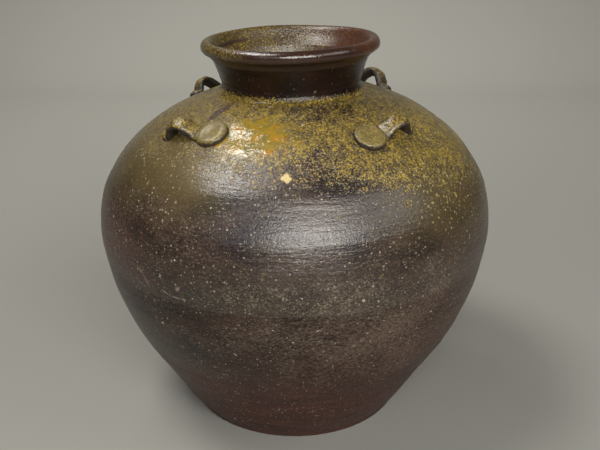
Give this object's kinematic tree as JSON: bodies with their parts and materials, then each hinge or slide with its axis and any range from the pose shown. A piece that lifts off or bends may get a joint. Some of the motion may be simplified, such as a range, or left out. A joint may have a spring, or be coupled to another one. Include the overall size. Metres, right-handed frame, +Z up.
{
  "type": "tea storage jar",
  "caption": "Stoneware tea storage jar with a wide rounded body, a short neck, a rolled rim and arched strap lugs on the shoulder for a lid cord.",
  "frame": {"origin": "centre of the face that the jar stands on", "axes": "+Z up along the jar's axis, +X towards the front right lug, -Y towards the front left lug"},
  "size_m": [0.2998, 0.2998, 0.2902],
  "materials": {
    "foot_clay": "bare fired iron-red stoneware, matte",
    "iron_glazed_wall": "thin dark iron-brown slip glaze, satin, with fine grit",
    "ash_glazed_shoulder": "natural ash glaze, mottled amber and olive over brown, satin gloss",
    "iron_glazed_neck": "dark plum-brown slip glaze, gloss",
    "ash_glazed_rim": "olive-brown ash glaze worn to reddish brown on the lip, gloss",
    "ash_glazed_lug": "natural ash glaze, olive and amber, rough at the edges"
  },
  "bodies": {
    "root": {"base_slab": "foot_clay", "lower_wall": "iron_glazed_wall", "belly_ring": "iron_glazed_wall", "shoulder_ring": "ash_glazed_shoulder", "neck": "iron_glazed_neck", "rolled_rim": "ash_glazed_rim", "front_left_lug": "ash_glazed_lug", "front_right_lug": "ash_glazed_lug", "back_left_lug": "ash_glazed_lug", "back_right_lug": "ash_glazed_lug"}
  },
  "joints": []
}
